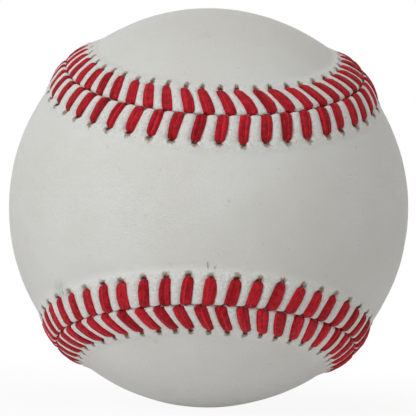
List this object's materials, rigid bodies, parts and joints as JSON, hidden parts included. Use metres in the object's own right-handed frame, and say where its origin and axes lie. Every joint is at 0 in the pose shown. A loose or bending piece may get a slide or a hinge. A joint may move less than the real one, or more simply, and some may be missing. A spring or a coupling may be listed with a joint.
{
  "type": "baseball",
  "caption": "Hard leather ball with a raised red hand-stitched seam round two interlocking panels, wound yarn over a rubber and cork pill inside.",
  "frame": {"origin": "the middle of the ball", "axes": "-Y through the waist of panel A, which faces the viewer of the picture, +Y through the waist of panel B, +Z through the upper round end of the panel B arc, X across the waist"},
  "size_m": [0.0738, 0.0738, 0.0738],
  "materials": {
    "cork": "pressed cork and rubber grains, matte",
    "black_rubber": "moulded, matte",
    "red_rubber": "moulded, matte",
    "grey_wool": "tightly wound wool yarn",
    "white_wool": "tightly wound wool yarn",
    "finishing_yarn": "fine wound cotton blend yarn",
    "cover_leather": "tawed white leather, smooth satin with fine pores",
    "waxed_thread": "waxed two-strand cotton thread"
  },
  "bodies": {
    "root": {"cork_core": "cork", "core_shell_lower": "black_rubber", "core_shell_upper": "black_rubber", "core_gasket": "red_rubber", "core_jacket": "red_rubber", "winding_inner": "grey_wool", "winding_middle": "white_wool", "winding_outer": "grey_wool", "winding_finish": "finishing_yarn", "cover_panel_a": "cover_leather", "cover_panel_b": "cover_leather", "stitches_panel_a": "waxed_thread", "stitches_panel_b": "waxed_thread"}
  },
  "joints": []
}
